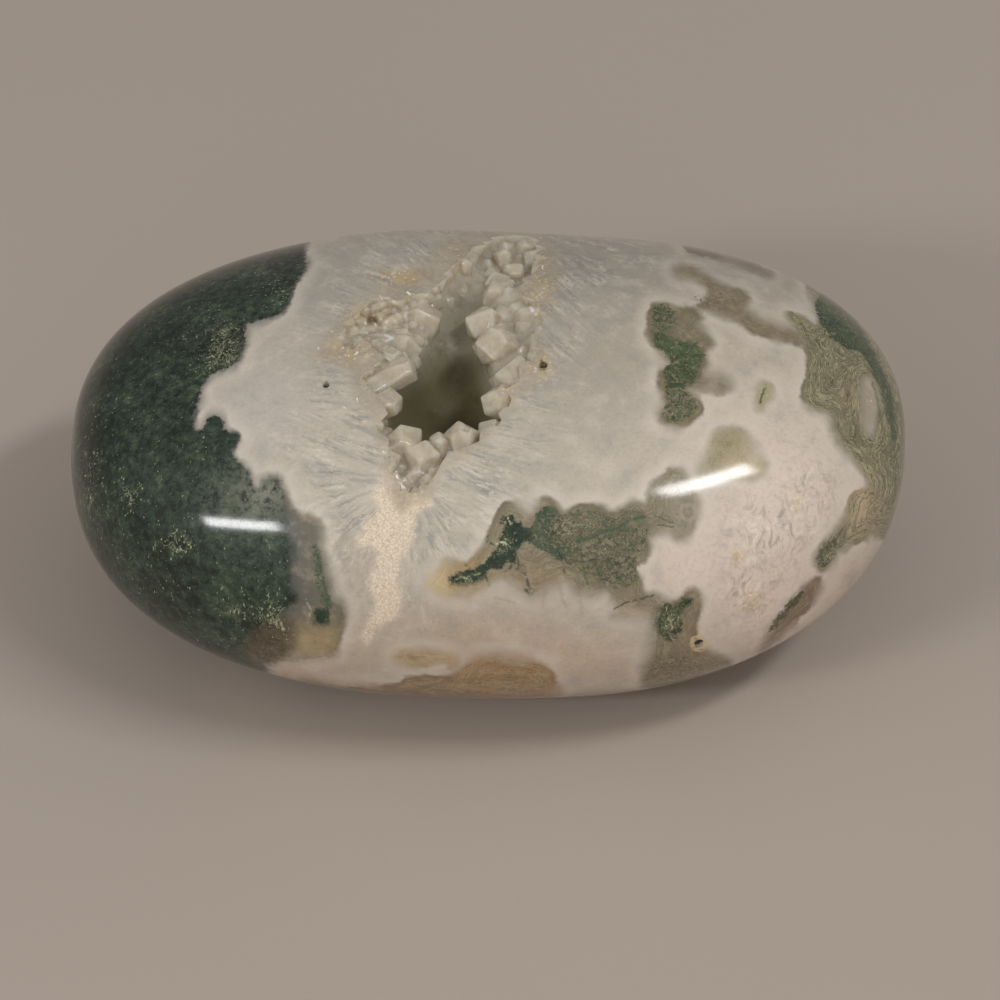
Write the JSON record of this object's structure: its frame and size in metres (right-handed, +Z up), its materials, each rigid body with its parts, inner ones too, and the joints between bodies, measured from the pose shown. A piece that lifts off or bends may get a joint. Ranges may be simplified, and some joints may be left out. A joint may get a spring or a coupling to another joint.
{
  "type": "moss agate palm stone",
  "caption": "Polished, rounded palm stone of white chalcedony with green mossy inclusions and an open hollow lined with quartz crystals.",
  "frame": {"origin": "under the middle of the stone, on the surface that it rests on", "axes": "+X along the stone's length, +Y across its width away from the side that the hollow opens towards, +Z up"},
  "size_m": [0.0626, 0.041, 0.0277],
  "materials": {
    "polished_agate": "polished milky white chalcedony with dark green and olive mossy inclusions",
    "quartz": "milky, translucent quartz crystals with glossy faces"
  },
  "bodies": {
    "root": {"stone": "polished_agate", "quartz_crust": "quartz"}
  },
  "joints": []
}
